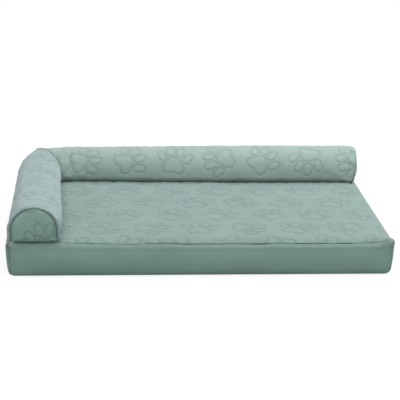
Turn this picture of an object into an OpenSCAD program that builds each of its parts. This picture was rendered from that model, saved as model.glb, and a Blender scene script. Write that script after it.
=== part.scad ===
// Chaise dog bed: a foam mattress in a zipped cover, edged by an L of two stuffed bolsters.
// The origin is the middle of the underside. +X runs along the back bolster, +Y towards it, +Z up.

/* [Mattress] */
// Overall width, along the back bolster
bed_w = 762; // [560:1:1100]
// Overall depth, from the front edge to the back
bed_d = 508; // [400:1:900]
// Height of the mattress, from the floor to the sleeping surface
mattress_h = 70; // [58:1:120]
// Radius of the rounded top edge, and how far the top seam lies in from the side
top_edge_r = 12; // [8:0.5:16]
// Radius of the rounded bottom edge, and how far the bottom seam lies in from the side
bottom_edge_r = 14; // [8:0.5:16]
// Radius of the four upright corners
corner_r = 20; // [18:0.5:40]

/* [Cloth] */
// Thickness of the plain velvet round the sides
gusset_t = 1.8; // [1:0.1:3]
// Thickness of the woven cloth underneath
base_t = 1.2; // [0.6:0.1:3]
// Thickness of the quilt's velvet face
face_t = 1; // [0.6:0.1:2]
// Thickness of the quilt's wadding
wadding_t = 3.4; // [2:0.1:6]
// Thickness of the quilt's backing scrim
scrim_t = 0.6; // [0.4:0.1:1]

/* [Bolsters] */
// Radius of a bolster's round section
bolster_r = 49; // [40:0.5:70]
// Height of a bolster's crest above the sleeping surface
bolster_rise = 70; // [60:0.5:90]
// How far an end panel domes out from its seam
end_crown = 6; // [3:0.5:12]
// Thickness of a quilted end panel
end_t = 4; // [2:0.1:6]

/* [Foam] */
// Distance from a peak of the egg-crate surface to the next hollow
crate_pitch = 25; // [18:1:40]
// Depth from the peaks to the hollows
crate_depth = 25; // [10:1:35]

/* [Zipper] */
// Height of the zipper's middle above the floor
zip_z = 32; // [30:1:34]
// Distance from each side of the mattress to the zipper's opening
zip_margin = 70; // [45:1:140]
// Half the height of the slot between the two rear strips
slot_half = 5.5; // [5.2:0.1:7]
// Width of each tape beside the chain
tape_w = 11; // [8:0.5:11]
// Thickness of the tapes
tape_t = 0.6; // [0.4:0.1:1]
// Distance from one tooth to the next
tooth_pitch = 2.5; // [2:0.1:4]
// Thickness of the chain
chain_t = 2.4; // [2:0.1:3]
// Half the width of the closed chain
chain_half = 3.2; // [2.8:0.1:3.4]
// Length of the slider
slider_len = 11; // [9:0.5:16]
// Thickness of each of the slider's plates
plate_t = 1.3; // [1:0.1:2]
// Radius of the bar that carries the pull
bail_r = 0.8; // [0.6:0.05:1.2]
// Length of the pull below the bar
pull_len = 24; // [16:1:28]
// Width of the pull
pull_w = 8; // [6:0.5:12]

/* [Fits] */
// Gap between soft pieces that have curved faces side by side
soft_gap = 0.3; // [0.2:0.05:0.5]
// Room between the foam and the cover round the sides
foam_ease = 0.8; // [0.4:0.1:2]
// Running clearance of the slider and the pull
run_gap = 0.35; // [0.25:0.05:0.5]

/* [Hidden] */
$fn = 96;

velvet_lit = [0.60, 0.69, 0.66];
velvet_plain = [0.43, 0.53, 0.50];
white_fibre = [0.93, 0.93, 0.90];
scrim_grey = [0.78, 0.80, 0.79];
foam_cream = [0.93, 0.87, 0.66];
base_grey = [0.36, 0.40, 0.39];
tape_green = [0.36, 0.45, 0.42];
nickel = [0.72, 0.72, 0.70];

// The quilt is three plies, and its underside is where the foam begins
quilt_t = face_t + wadding_t + scrim_t;
foam_top = mattress_h - quilt_t - soft_gap;

// Bolster section: a circle cut off by the sleeping surface, so that it stands on a chord
axis_z = mattress_h + bolster_rise - bolster_r;
chord_half = sqrt(pow(bolster_r, 2) - pow(bolster_rise - bolster_r, 2));
// Both bolsters stand with the outer end of that chord on the top seam
axis_inset = top_edge_r + chord_half;
corner_x = axis_inset - bed_w / 2;
corner_y = bed_d / 2 - axis_inset;
left_len = bed_d - top_edge_r - axis_inset;
back_len = bed_w - top_edge_r - axis_inset;
wadding_r = bolster_r - face_t - soft_gap;
fill_r = wadding_r - wadding_t - soft_gap;
end_r = fill_r;
dome_r = (pow(end_r, 2) + pow(end_crown, 2)) / (2 * end_crown);

// Zipper layers, as distances in from the outer face of the rear gusset
rear_y = bed_d / 2;
tape_in = gusset_t;
chain_in = tape_in + tape_t / 2 - chain_t / 2;
inner_plate_in = chain_in + chain_t + run_gap;
outer_plate_in = chain_in - run_gap - plate_t;
slider_depth = inner_plate_in + plate_t;
plate_half = chain_half + run_gap + 1;
slot_len = bed_w - 2 * zip_margin;
end_room = 10;
tooth_count = floor((slot_len - 2 * end_room) / tooth_pitch);
chain_len = tooth_count * tooth_pitch;
tooth_w = tooth_pitch * 0.42;
tooth_reach = 1.1;
stop_t = 2;
// The slider rests at the closed end, with its wedge just past the last tooth
slider_back = chain_len / 2 - 0.64 * slider_len;
bail_y = rear_y - outer_plate_in + 2.7;
bail_len = 7;
post_w = 1.5;
eye_r = 2.4;
pull_t = 1.2;

big = 4 * (bed_w + bed_d);

// ---------------------------------------------------------------- mattress cover

module rounded_plate(w, d, r) {
    square([w - 2 * r, d], center = true);
    square([w, d - 2 * r], center = true);
    for (x = [-1, 1], y = [-1, 1])
        translate([x * (w / 2 - r), y * (d / 2 - r)]) circle(r);
}

// A level ply of the sleeping panel, which fills the outline of the top seam
module panel_ply(top, t) {
    translate([0, 0, top - t])
        linear_extrude(t)
            rounded_plate(bed_w - 2 * top_edge_r, bed_d - 2 * top_edge_r, corner_r - top_edge_r);
}

module sleep_panel_face() {
    color(velvet_lit) panel_ply(mattress_h, face_t);
}

module sleep_panel_wadding() {
    color(white_fibre) panel_ply(mattress_h - face_t, wadding_t);
}

module sleep_panel_backing() {
    color(scrim_grey) panel_ply(mattress_h - face_t - wadding_t, scrim_t);
}

module base_panel() {
    color(base_grey)
        linear_extrude(base_t)
            rounded_plate(bed_w - 2 * bottom_edge_r, bed_d - 2 * bottom_edge_r, corner_r - bottom_edge_r);
}

module quarter_ring(r, t) {
    intersection() {
        difference() {
            circle(r);
            circle(r - t);
        }
        square(r + 1);
    }
}

// Section of the side strip, drawn at its distance from the axis of an upright corner
module gusset_section() {
    translate([corner_r - gusset_t, bottom_edge_r])
        square([gusset_t, mattress_h - top_edge_r - bottom_edge_r]);
    translate([corner_r - top_edge_r, mattress_h - top_edge_r])
        quarter_ring(top_edge_r, gusset_t);
    translate([corner_r - bottom_edge_r, bottom_edge_r])
        mirror([0, 1]) quarter_ring(bottom_edge_r, gusset_t);
}

// One side strip facing +Y: a straight length, with half of each rounded corner
module gusset_strip(side, reach) {
    straight = side - 2 * corner_r;
    translate([0, reach - corner_r, 0]) {
        rotate([90, 0, 90]) linear_extrude(straight, center = true) gusset_section();
        for (side = [0, 1])
            mirror([side, 0, 0])
                translate([-straight / 2, 0, 0]) rotate(90) rotate_extrude(angle = 45) gusset_section();
    }
}

module front_gusset() {
    color(velvet_plain) rotate(180) gusset_strip(bed_w, bed_d / 2);
}

module left_gusset() {
    color(velvet_plain) rotate(90) gusset_strip(bed_d, bed_w / 2);
}

module right_gusset() {
    color(velvet_plain) rotate(-90) gusset_strip(bed_d, bed_w / 2);
}

// The rear strip is cut in two at the zipper, and a slot shows the chain
module rear_gusset(keep_from) {
    intersection() {
        difference() {
            gusset_strip(bed_w, bed_d / 2);
            translate([-slot_len / 2, rear_y - corner_r, zip_z - slot_half])
                cube([slot_len, 2 * corner_r, 2 * slot_half]);
        }
        translate([-bed_w, -bed_d, keep_from]) cube([2 * bed_w, 2 * bed_d, mattress_h]);
    }
}

module rear_gusset_upper() {
    color(velvet_plain) rear_gusset(zip_z);
}

module rear_gusset_lower() {
    color(velvet_plain) rear_gusset(zip_z - mattress_h);
}

// ---------------------------------------------------------------- foam core

// The core is a block with chamfered edges and an egg-crate top. Each ring has one point for
// every grid point on the outline, so that the sides are plain strips of quads.
cells_x = 2 * round(bed_w / crate_pitch / 2);
cells_y = 2 * round(bed_d / crate_pitch / 2);
ring_n = 2 * (cells_x + cells_y);
corner_pull = corner_r * 0.32;

// Grid place of the k-th point of the outline, anticlockwise from the front left corner
function outline_cell(k) =
    k < cells_x ? [k, 0]
    : k < cells_x + cells_y ? [cells_x, k - cells_x]
    : k < 2 * cells_x + cells_y ? [2 * cells_x + cells_y - k, cells_y]
    : [0, ring_n - k];

// How far a corner of the grid is drawn in, with its sign
function pull_in(i, n, j, m) =
    (j == 0 || j == m) ? (i == 0 ? corner_pull : i == n ? -corner_pull : 0) : 0;

// Level position of a grid point on a block that is drawn in by inset on every side
function core_xy(c, inset) =
    let (
        x0 = -bed_w / 2 + inset,
        y0 = -bed_d / 2 + inset,
        x1 = bed_w / 2 - inset,
        y1 = bed_d / 2 - inset - (slider_depth - gusset_t)
    ) [
        x0 + (x1 - x0) * c[0] / cells_x + pull_in(c[0], cells_x, c[1], cells_y),
        y0 + (y1 - y0) * c[1] / cells_y + pull_in(c[1], cells_y, c[0], cells_x)
    ];

function on_edge(c) = c[0] == 0 || c[0] == cells_x || c[1] == 0 || c[1] == cells_y;

function crate_z(c) =
    on_edge(c) ? foam_top - crate_depth / 2
    : (c[0] + c[1]) % 2 == 0 ? foam_top
    : foam_top - crate_depth;

module foam_core() {
    side_inset = gusset_t + foam_ease;
    shoulder = foam_top - crate_depth / 2 - top_edge_r;
    rings = [
        [bottom_edge_r + 1, base_t],
        [side_inset, bottom_edge_r],
        [side_inset, shoulder]
    ];
    ring_points = [
        for (ring = rings, k = [0 : ring_n - 1])
            let (p = core_xy(outline_cell(k), ring[0])) [p[0], p[1], ring[1]]
    ];
    grid_points = [
        for (j = [0 : cells_y], i = [0 : cells_x])
            let (p = core_xy([i, j], top_edge_r + 1)) [p[0], p[1], crate_z([i, j])]
    ];
    grid_start = len(ring_points);
    function grid_index(c) = grid_start + c[1] * (cells_x + 1) + c[0];
    // The highest side ring joins the outline of the grid
    function side_index(level, k) =
        level < len(rings) ? level * ring_n + k % ring_n : grid_index(outline_cell(k % ring_n));
    underside = [[for (k = [0 : ring_n - 1]) k]];
    sides = [
        for (level = [0 : len(rings) - 1], k = [0 : ring_n - 1])
            [side_index(level, k), side_index(level + 1, k), side_index(level + 1, k + 1), side_index(level, k + 1)]
    ];
    crate = [
        for (j = [0 : cells_y - 1], i = [0 : cells_x - 1])
            let (
                a = grid_index([i, j]),
                b = grid_index([i + 1, j]),
                c = grid_index([i + 1, j + 1]),
                d = grid_index([i, j + 1])
            )
            each (i + j) % 2 == 0 ? [[a, d, b], [b, d, c]] : [[a, c, b], [a, d, c]]
    ];
    side_triangles = [for (q = sides) each [[q[0], q[1], q[2]], [q[0], q[2], q[3]]]];
    color(foam_cream)
        polyhedron(points = concat(ring_points, grid_points), faces = concat(underside, side_triangles, crate));
}

// ---------------------------------------------------------------- bolsters

// A round bar along +Y that starts at the origin and ends in a half ball at len
module ball_bar(r, len) {
    rotate([-90, 0, 0])
        rotate_extrude() {
            square([r, len]);
            translate([0, len])
                intersection() {
                    circle(r);
                    square(r);
                }
        }
}

// The half-spaces on either side of the mitre, above the sleeping surface
module above_panel() {
    translate([-big / 2, -big / 2, mattress_h]) cube([big, big, big / 4]);
}

module mitre_side() {
    translate([corner_x, corner_y, 0]) rotate(45) translate([-big, -big / 2, 0]) cube([big, big, big / 4]);
}

// Stuffed length of one bolster at a given radius. Both are drawn as the left one, because
// mirroring in the mitre plane turns the left one into the back one.
module bolster_bar(r, len) {
    intersection() {
        translate([corner_x, corner_y - len, axis_z]) ball_bar(r, len);
        mitre_side();
        above_panel();
    }
}

module bolster_ply(r, t, len) {
    difference() {
        bolster_bar(r, len);
        translate([corner_x, corner_y - len - 1, axis_z]) ball_bar(r - t, len + 1);
    }
}

module dome(r, len) {
    translate([corner_x, corner_y - len - end_crown + dome_r, axis_z]) sphere(r);
}

// The end panel is part of a hollow ball, sewn inside the mouth of the cover
module bolster_end(len) {
    intersection() {
        difference() {
            dome(dome_r, len);
            dome(dome_r - end_t, len);
        }
        translate([corner_x, corner_y - len - 2 * end_crown, axis_z])
            rotate([-90, 0, 0]) cylinder(r = end_r, h = 2 * end_crown + 2 * end_t);
        above_panel();
    }
}

module bolster_fill(len) {
    intersection() {
        bolster_bar(fill_r, len);
        union() {
            dome(dome_r - end_t - soft_gap, len);
            translate([-big / 2, corner_y - len - end_crown + dome_r, 0]) cube([big, big, big / 4]);
        }
    }
}

module as_back_bolster() {
    translate([corner_x, corner_y, 0]) mirror([1, 1, 0]) translate([-corner_x, -corner_y, 0]) children();
}

module left_bolster_face() {
    color(velvet_lit) bolster_ply(bolster_r, face_t, left_len);
}

module left_bolster_wadding() {
    color(white_fibre) bolster_ply(wadding_r, wadding_t, left_len);
}

module left_bolster_fill() {
    color(white_fibre) bolster_fill(left_len);
}

module left_bolster_end() {
    color(velvet_lit) bolster_end(left_len);
}

module back_bolster_face() {
    color(velvet_lit) as_back_bolster() bolster_ply(bolster_r, face_t, back_len);
}

module back_bolster_wadding() {
    color(white_fibre) as_back_bolster() bolster_ply(wadding_r, wadding_t, back_len);
}

module back_bolster_fill() {
    color(white_fibre) as_back_bolster() bolster_fill(back_len);
}

module back_bolster_end() {
    color(velvet_lit) as_back_bolster() bolster_end(back_len);
}

// ---------------------------------------------------------------- zipper

// Puts a flat outline, drawn in X and height above the chain, into the rear wall:
// from depth inwards by t
module in_wall(depth, t) {
    translate([0, rear_y - depth, zip_z]) rotate([90, 0, 0]) linear_extrude(t) children();
}

module zipper_tape() {
    in_wall(tape_in, tape_t)
        translate([-slot_len / 2 - end_room, chain_half]) square([slot_len + 2 * end_room, tape_w]);
}

module zipper_tape_upper() {
    color(tape_green) zipper_tape();
}

module zipper_tape_lower() {
    color(tape_green) translate([0, 0, 2 * zip_z]) mirror([0, 0, 1]) zipper_tape();
}

// A row of teeth on its rail: the teeth reach past the middle, between those of the other row
module tooth_row(shift) {
    start = -chain_len / 2 + shift;
    comb = [
        for (i = [0 : tooth_count - 1], p = [[0, 1], [0, -0.8], [tooth_w, -0.8], [tooth_w, 1]])
            [start + i * tooth_pitch + p[0], p[1] * tooth_reach]
    ];
    in_wall(chain_in, chain_t)
        polygon(concat(comb, [[chain_len / 2, tooth_reach], [chain_len / 2, chain_half],
            [-chain_len / 2, chain_half], [-chain_len / 2, tooth_reach]]));
}

module zipper_teeth_upper() {
    color(tape_green) tooth_row(0.1);
}

module zipper_teeth_lower() {
    color(tape_green)
        translate([0, 0, 2 * zip_z]) mirror([0, 0, 1]) tooth_row(0.1 + tooth_pitch / 2);
}

// Two small clips on the tapes past the slider, and one wide clip where the zipper opens to
module zipper_stops() {
    color(nickel) {
        in_wall(chain_in, chain_t)
            for (side = [0, 1])
                mirror([0, side])
                    translate([slider_back + slider_len + run_gap, tooth_reach])
                        square([stop_t, chain_half - tooth_reach]);
        in_wall(chain_in, chain_t)
            translate([-chain_len / 2 - stop_t, -chain_half]) square([stop_t, 2 * chain_half]);
    }
}

// Outline of a slider plate: blunt and narrow behind, with broad shoulders in front
module slider_outline() {
    polygon([
        [0, -plate_half * 0.8], [0, plate_half * 0.8],
        [slider_len * 0.35, plate_half], [slider_len * 0.8, plate_half],
        [slider_len, plate_half * 0.55], [slider_len, -plate_half * 0.55],
        [slider_len * 0.8, -plate_half], [slider_len * 0.35, -plate_half]
    ]);
}

module slider_flanges(depth, t) {
    in_wall(depth, t)
        intersection() {
            slider_outline();
            for (side = [0, 1])
                mirror([0, side]) translate([0, chain_half + run_gap]) square([slider_len, plate_half]);
        }
}

module slider_body() {
    in_wall(outer_plate_in, plate_t) slider_outline();
    in_wall(inner_plate_in, plate_t) slider_outline();
    slider_flanges(outer_plate_in + plate_t, tape_in - run_gap - outer_plate_in - plate_t);
    slider_flanges(tape_in + tape_t + run_gap, inner_plate_in - tape_in - tape_t - run_gap);
    // The wedge joins the plates past the last tooth
    in_wall(outer_plate_in + plate_t, inner_plate_in - outer_plate_in - plate_t)
        polygon([[slider_len * 0.7, 0], [slider_len * 0.85, 1.5], [slider_len * 0.98, 1.2],
            [slider_len * 0.98, -1.2], [slider_len * 0.85, -1.5]]);
}

module bail() {
    translate([(slider_len - bail_len) / 2, bail_y, zip_z])
        rotate([0, 90, 0]) cylinder(r = bail_r, h = bail_len);
    for (x = [0, bail_len - post_w])
        translate([(slider_len - bail_len) / 2 + x, rear_y - outer_plate_in, zip_z - bail_r])
            cube([post_w, bail_y - rear_y + outer_plate_in, 2 * bail_r]);
}

module zipper_slider() {
    color(nickel) translate([slider_back, 0, 0]) {
        slider_body();
        bail();
    }
}

// The pull hangs from the bail: an eye round the bar, a neck and a round-ended tab
module zipper_pull() {
    eye_w = bail_len - 2 * post_w - 2 * run_gap;
    tab_top = -eye_r - 2;
    color(nickel)
        translate([slider_back + slider_len / 2, bail_y, zip_z])
            difference() {
                union() {
                    rotate([0, 90, 0]) cylinder(r = eye_r, h = eye_w, center = true);
                    translate([-eye_w / 2, -pull_t / 2, tab_top - 1]) cube([eye_w, pull_t, -tab_top + 1]);
                    translate([0, pull_t / 2, 0]) rotate([90, 0, 0]) linear_extrude(pull_t) {
                        translate([-pull_w / 2, pull_w / 2 - pull_len])
                            square([pull_w, tab_top + pull_len - pull_w / 2]);
                        translate([0, pull_w / 2 - pull_len]) circle(pull_w / 2);
                    }
                }
                rotate([0, 90, 0]) cylinder(r = bail_r + run_gap, h = 2 * eye_w, center = true);
            }
}

foam_core();
sleep_panel_backing();
sleep_panel_wadding();
sleep_panel_face();
front_gusset();
left_gusset();
right_gusset();
rear_gusset_upper();
rear_gusset_lower();
base_panel();
zipper_tape_upper();
zipper_tape_lower();
zipper_teeth_upper();
zipper_teeth_lower();
zipper_stops();
zipper_slider();
zipper_pull();
left_bolster_face();
left_bolster_wadding();
left_bolster_fill();
left_bolster_end();
back_bolster_face();
back_bolster_wadding();
back_bolster_fill();
back_bolster_end();
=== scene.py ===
"""A chaise dog bed: a foam mattress in a zipped velvet cover, with an L of two stuffed bolsters."""

import math

import bmesh
import bpy
import numpy as np
from mathutils import Matrix, Vector, noise


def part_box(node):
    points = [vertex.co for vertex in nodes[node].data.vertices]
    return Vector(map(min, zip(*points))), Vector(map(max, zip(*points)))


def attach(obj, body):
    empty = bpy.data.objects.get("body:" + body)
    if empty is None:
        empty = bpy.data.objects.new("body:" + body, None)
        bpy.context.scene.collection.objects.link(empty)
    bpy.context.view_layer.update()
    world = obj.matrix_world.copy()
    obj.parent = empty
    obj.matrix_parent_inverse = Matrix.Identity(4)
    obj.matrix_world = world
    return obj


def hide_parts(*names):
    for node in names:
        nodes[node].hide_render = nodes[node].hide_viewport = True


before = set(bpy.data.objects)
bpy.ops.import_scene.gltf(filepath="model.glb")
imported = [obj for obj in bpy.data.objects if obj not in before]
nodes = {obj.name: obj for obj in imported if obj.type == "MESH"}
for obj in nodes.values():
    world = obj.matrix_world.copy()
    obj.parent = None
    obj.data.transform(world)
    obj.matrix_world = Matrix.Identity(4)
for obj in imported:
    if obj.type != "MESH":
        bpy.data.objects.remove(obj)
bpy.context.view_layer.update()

# ---------------------------------------------------------------- camera, floor and light

# The camera stands 2.7 m in front of the bed, a little to its left, and looks down at it
# through a long lens. It leans slightly to one side.
camera_place = Vector((-0.210, -2.726, 0.921))
camera_turn, camera_tilt, camera_roll = 4.68, 17.113, 1.29
camera = bpy.data.objects.new("camera", bpy.data.cameras.new("camera"))
camera.data.sensor_width = 36.0
camera.data.lens = 121.8
camera.matrix_world = (
    Matrix.Translation(camera_place)
    @ Matrix.Rotation(-math.radians(camera_turn), 4, "Z")
    @ Matrix.Rotation(math.radians(90 - camera_tilt), 4, "X")
    @ Matrix.Rotation(math.radians(camera_roll), 4, "Z")
)
scene = bpy.context.scene
scene.collection.objects.link(camera)
scene.camera = camera
scene.view_settings.view_transform = "Standard"


def keep_mesh(bm, name):
    mesh = bpy.data.meshes.new(name)
    bm.to_mesh(mesh)
    bm.free()
    return mesh


# A pale floor runs out of sight. The part of it that the camera sees is lifted towards white,
# and keeps a soft shadow.
floor_bm = bmesh.new()
bmesh.ops.create_grid(floor_bm, x_segments=1, y_segments=1, size=30)
bmesh.ops.translate(floor_bm, verts=floor_bm.verts, vec=(0, 0, -0.0003))
floor = bpy.data.objects.new("floor", keep_mesh(floor_bm, "floor"))
scene.collection.objects.link(floor)


def shader_node(tree, kind, sockets=(), **settings):
    """A new node, with its own settings and the constants on its sockets."""
    made = tree.nodes.new("ShaderNode" + kind)
    for name, value in settings.items():
        setattr(made, name, value)
    for socket, value in dict(sockets).items():
        made.inputs[socket].default_value = value
    return made


def wire(tree, *links):
    """Joins an output of one node to an input of another, for each link."""
    for source, out_socket, target, in_socket in links:
        tree.links.new(source.outputs[out_socket], target.inputs[in_socket])


floor_look = bpy.data.materials.new("pale_floor")
floor_look.use_nodes = True
tree = floor_look.node_tree
tree.nodes.clear()
seen = shader_node(tree, "LightPath")
direct = shader_node(tree, "Math", operation="MAXIMUM")
plain = shader_node(tree, "BsdfDiffuse")
shade = shader_node(tree, "Mix", {6: (0.32, 0.32, 0.32, 1), 7: (0.93, 0.93, 0.93, 1)}, data_type="RGBA")
glow = shader_node(tree, "Emission", {"Color": (1, 1, 1, 1), "Strength": 1.0})
share = shader_node(tree, "Math", {1: 0.84}, operation="MULTIPLY")
blend = shader_node(tree, "MixShader")
out = shader_node(tree, "OutputMaterial")
wire(
    tree,
    (seen, "Is Camera Ray", direct, 0),
    (seen, "Is Glossy Ray", direct, 1),
    (direct, 0, share, 0),
    (direct, 0, shade, "Factor"),
    (shade, 2, plain, "Color"),
    (share, 0, blend, "Fac"),
    (plain, 0, blend, 1),
    (glow, 0, blend, 2),
    (blend, 0, out, "Surface"),
)
floor.data.materials.append(floor_look)

# Plain studio light: a soft box high over the right end of the bed, a broad soft light from
# overhead, a weak fill from the front, and an even surround that the camera sees as white.
for name, strength, spread, aim in (
    ("overhead_light", 2.08, 50, (0.05, 0.50, -1.0)),
    ("fill_light", 0.25, 70, (0.25, 1.0, -0.55)),
):
    lamp = bpy.data.objects.new(name, bpy.data.lights.new(name, "SUN"))
    lamp.data.energy = strength
    lamp.data.angle = math.radians(spread)
    lamp.rotation_mode = "QUATERNION"
    lamp.rotation_quaternion = Vector(aim).to_track_quat("-Z", "Y")
    scene.collection.objects.link(lamp)
soft_box_place = Vector((1.6, 0.9, 1.9))
soft_box = bpy.data.objects.new("soft_box", bpy.data.lights.new("soft_box", "AREA"))
soft_box.data.size = 1.4
soft_box.data.energy = 42
soft_box.location = soft_box_place
soft_box.rotation_mode = "QUATERNION"
soft_box.rotation_quaternion = (-soft_box_place).to_track_quat("-Z", "Y")
scene.collection.objects.link(soft_box)

world = bpy.data.worlds.new("surround")
world.use_nodes = True
scene.world = world
tree = world.node_tree
tree.nodes.clear()
seen = shader_node(tree, "LightPath")
even = shader_node(tree, "Background", {"Color": (0.95, 0.98, 1.0, 1), "Strength": 0.42})
white = shader_node(tree, "Background", {"Color": (1, 1, 1, 1), "Strength": 1.0})
blend = shader_node(tree, "MixShader")
out = shader_node(tree, "OutputWorld")
wire(
    tree,
    (seen, "Is Camera Ray", blend, "Fac"),
    (even, 0, blend, 1),
    (white, 0, blend, 2),
    (blend, 0, out, "Surface"),
)

# ---------------------------------------------------------------- foam block

# The mattress is a block of open-cell polyurethane foam, cut to an egg-crate top that the
# quilt rests on. It fills the cover, which squeezes its edges in a little.
foam_low, foam_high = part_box("foam_core")
foam_squeeze = 0.0055
crate_pitch = 0.025
crate_depth = 0.010
foam_round = 0.016


def read_points(mesh):
    flat = np.empty(len(mesh.vertices) * 3)
    mesh.vertices.foreach_get("co", flat)
    return flat.reshape(-1, 3)


def move_points(mesh, points):
    mesh.vertices.foreach_set("co", points.ravel())


def add_piece(name, mesh, look, body="cover"):
    piece = bpy.data.objects.new(name, mesh)
    scene.collection.objects.link(piece)
    mesh.materials.append(look)
    mesh.polygons.foreach_set("use_smooth", [True] * len(mesh.polygons))
    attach(piece, body)
    return piece


def surface(name, sockets):
    """A new material: its node tree and its shader, with the constants that the shader holds."""
    look = bpy.data.materials.new(name)
    look.use_nodes = True
    shader = look.node_tree.nodes["Principled BSDF"]
    for socket, value in sockets.items():
        shader.inputs[socket].default_value = value
    return look, look.node_tree, shader


def tones(tree, colour, dark, light, dark_at=0.0, light_at=1.0):
    """A ramp from a darker to a lighter tone of a colour."""
    ramp = shader_node(tree, "ValToRGB")
    for stop, tone, at in zip(ramp.color_ramp.elements, (dark, light), (dark_at, light_at)):
        stop.position = at
        stop.color = (*(tone * c for c in colour), 1)
    return ramp


def spongy(name, colour, grain, depth, roughness):
    """A porous or fibrous filling: cells or fibres as a bump, and a patchy tone."""
    look, tree, body = surface(name, {"Roughness": roughness, "Specular IOR Level": 0.2})
    place = shader_node(tree, "TexCoord")
    patches = shader_node(tree, "TexNoise", {"Scale": 18, "Detail": 3})
    shade = tones(tree, colour, 0.88, 1)
    cells = shader_node(tree, "TexVoronoi", {"Scale": grain})
    pores = shader_node(tree, "Bump", {"Strength": 0.7, "Distance": depth})
    wire(
        tree,
        (place, "Object", patches, "Vector"),
        (place, "Object", cells, "Vector"),
        (patches, "Fac", shade, "Fac"),
        (shade, "Color", body, "Base Color"),
        (cells, "Distance", pores, "Height"),
        (pores, "Normal", body, "Normal"),
    )
    return look


def round_corners(x, y, half_x, half_y, radius):
    """Moves the grid points near the corners of a rectangle so that its outline is rounded."""
    px = np.maximum(0, np.abs(x) - (half_x - radius)) / radius
    py = np.maximum(0, np.abs(y) - (half_y - radius)) / radius
    reach = np.hypot(px, py)
    both = (px > 0) & (py > 0)
    pull = np.where(both, np.maximum(px, py) / np.where(reach > 0, reach, 1), 1)
    new_x = np.where(both, np.sign(x) * (half_x - radius + px * pull * radius), x)
    new_y = np.where(both, np.sign(y) * (half_y - radius + py * pull * radius), y)
    return new_x, new_y


def extrude_rim(bm, way):
    """Turns the rim of an open sheet back by one step and closes it."""
    far = bmesh.ops.extrude_edge_only(bm, edges=[e for e in bm.edges if e.is_boundary])["geom"]
    bmesh.ops.translate(bm, verts=[g for g in far if isinstance(g, bmesh.types.BMVert)], vec=way)
    bmesh.ops.edgeloop_fill(bm, edges=[e for e in bm.edges if e.is_boundary])


def slab(name, half_x, half_y, cell):
    """A closed slab of grid cells, with its upper side at z = 0 and its lower side at z = -1."""
    bm = bmesh.new()
    bm.loops.layers.uv.new("flat_cloth")
    bmesh.ops.create_grid(
        bm, x_segments=round(2 * half_x / cell), y_segments=round(2 * half_y / cell), size=1,
        matrix=Matrix.Diagonal((half_x, half_y, 1, 1)),
    )
    extrude_rim(bm, (0, 0, -1))
    bmesh.ops.recalc_face_normals(bm, faces=bm.faces)
    return keep_mesh(bm, name)


polyurethane = spongy("polyurethane_foam", (0.85, 0.76, 0.50), grain=700, depth=0.0006, roughness=0.95)
foam_x, foam_y = foam_high.x - foam_squeeze, foam_high.y - foam_squeeze
foam_mesh = slab("foam_block", foam_x, foam_y, cell=0.0045)
points = read_points(foam_mesh)
on_top = points[:, 2] > -0.5
x, y = round_corners(points[:, 0], points[:, 1], foam_x, foam_y, foam_round)
inward = np.minimum(foam_x - np.abs(x), foam_y - np.abs(y))
crate = 0.5 - 0.5 * np.sin(2 * math.pi * x / crate_pitch) * np.sin(2 * math.pi * y / crate_pitch)
shoulder = foam_round * (1 - np.sqrt(1 - np.clip(1 - inward / foam_round, 0, 1) ** 2))
crate_top = foam_high.z - crate_depth * crate * np.clip((inward - foam_round) / foam_round, 0, 1) - shoulder
points[:, 0], points[:, 1] = x, y
points[:, 2] = np.where(on_top, crate_top - 0.001, foam_low.z + 0.0015)
move_points(foam_mesh, points)
foam = add_piece("foam_block", foam_mesh, polyurethane)
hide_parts("foam_core")

# ---------------------------------------------------------------- quilted sleeping panel

# The top of the mattress is a quilt: sage velvet over polyester wadding and a thin scrim,
# joined by a hot wheel that welds paw outlines as a double row of dots. It is cut to the
# outline of the top seam.
panel_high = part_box("sleep_panel_face")[1]
wadding_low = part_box("sleep_panel_backing")[0].z
seam_z = panel_high.z
seam_dip = 0.0058
corner_lift = 0.0036
seam_slope = 0.012
quilt_puff = 0.0009
weld_row_offset = 0.0014

paw_pitch = 0.098
paw_row = 0.086
pad_lobes = ((0.0, -0.010, 0.0150), (-0.0125, -0.021, 0.0110), (0.0125, -0.021, 0.0110))
pad_blend = 0.010
toes = ((-0.0105, 0.0205, 8), (0.0105, 0.0205, -8), (-0.0285, 0.0055, 27), (0.0285, 0.0055, -27))
toe_radius = 0.0082
toe_half = 0.0050


def paw_distance(u, v):
    """Distance of points on the flat cloth from the nearest paw outline: below 0 inside a paw."""
    nearest = np.full(u.shape, 1.0)
    for d_col in (-1, 0, 1):
        for d_row in (-1, 0, 1):
            row = np.round(v / paw_row) + d_row
            shift = 0.5 * np.mod(row, 2)
            col = np.round(u / paw_pitch - shift) + d_col
            turn = 2 * math.pi * np.mod(np.sin(col * 12.9898 + row * 78.233) * 437.585, 1)
            du = u - (col + shift) * paw_pitch
            dv = v - row * paw_row
            x = du * np.cos(turn) + dv * np.sin(turn)
            y = dv * np.cos(turn) - du * np.sin(turn)
            soft = sum(np.exp(-(np.hypot(x - px, y - py) - r) / pad_blend * 3) for px, py, r in pad_lobes)
            nearest = np.minimum(nearest, -np.log(soft) * pad_blend / 3)
            for tx, ty, lean in toes:
                c, s = math.cos(math.radians(lean)), math.sin(math.radians(lean))
                across = (x - tx) * c + (y - ty) * s
                along = (y - ty) * c - (x - tx) * s
                along = along - np.clip(along, -toe_half, toe_half)
                nearest = np.minimum(nearest, np.hypot(across, along) - toe_radius)
    return nearest


def quilt_height(distance):
    """How far the quilt stands above its weld lines at a distance from the paw outline."""
    gap = np.abs(distance)
    return quilt_puff * (1 - np.exp(-(gap / 0.0042) ** 1.4)) - 0.0006 * np.exp(-(gap / 0.0018) ** 2)


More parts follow.
